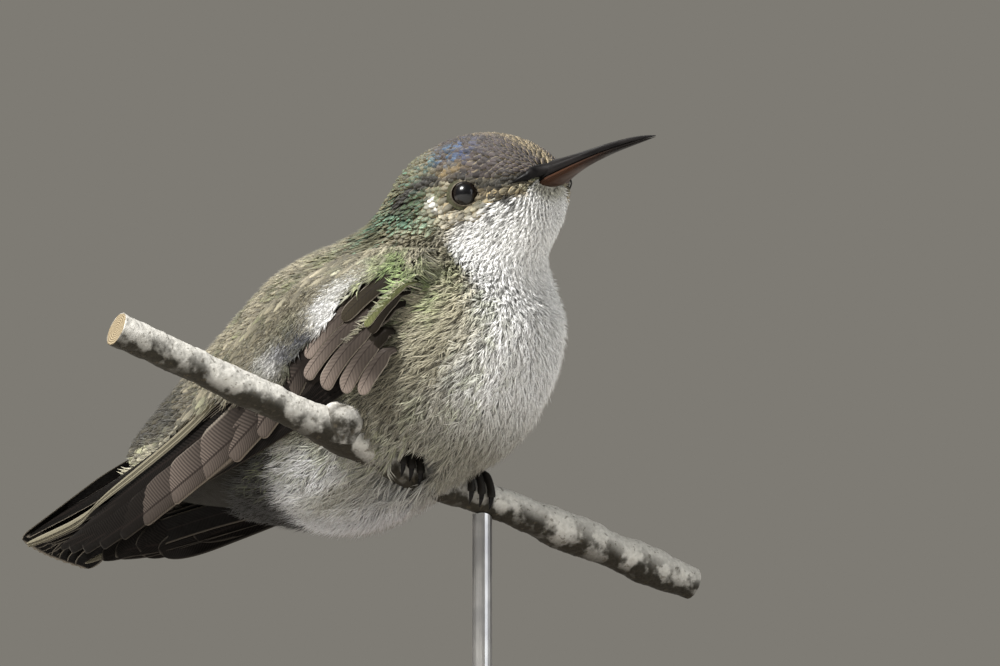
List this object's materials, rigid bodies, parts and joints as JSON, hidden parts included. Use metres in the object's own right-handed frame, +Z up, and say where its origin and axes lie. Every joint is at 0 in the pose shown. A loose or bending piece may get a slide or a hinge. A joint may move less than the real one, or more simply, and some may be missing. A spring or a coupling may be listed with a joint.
{
  "type": "hummingbird model",
  "caption": "Life-size model of a hummingbird perched, fluffed up, on a short cut branch, held by a plain round wooden stand with a steel rod.",
  "frame": {"origin": "centre of the round stand's underside", "axes": "+Z up, square to the stand's flat underside; +X ahead of the bird, along its trunk and tail seen from above, towards the bill; +Y to the bird's left"},
  "size_m": [0.1058, 0.0809, 0.0994],
  "materials": {
    "head_plumage": "scaly grey-brown crown feathers with a blue and turquoise gloss, white throat",
    "neck_plumage": "soft green and olive feathers, white foreneck",
    "trunk_plumage": "loose barbed feathers, white breast, olive-tan flanks, grey-brown back",
    "covert_feather": "grey-brown wing coverts with paler rims",
    "flight_feather": "dark brown vanes with fine barbs and a satin sheen",
    "bill_upper": "smooth black horn",
    "bill_lower": "smooth dull red horn with a dark tip",
    "eye": "wet black",
    "foot_horn": "black scaly skin and horn",
    "bark": "pale grey bark, rough, with darker cracks",
    "stand_wood": "satin dark wood",
    "stand_steel": "satin steel"
  },
  "bodies": {
    "root": {"head": "head_plumage", "neck": "neck_plumage", "trunk": "trunk_plumage", "tail_right": "flight_feather", "tail_middle": "flight_feather", "tail_left": "flight_feather", "wing_right_coverts": "covert_feather", "wing_right_secondaries": "flight_feather", "wing_right_primaries": "flight_feather", "wing_left_coverts": "covert_feather", "wing_left_secondaries": "flight_feather", "wing_left_primaries": "flight_feather", "bill_upper": "bill_upper", "bill_lower": "bill_lower", "eye_right": "eye", "eye_left": "eye", "leg_right": "foot_horn", "leg_left": "foot_horn", "perch": "bark", "stand_base": "stand_wood", "stand_rod": "stand_steel", "stand_collar": "stand_steel"}
  },
  "joints": []
}
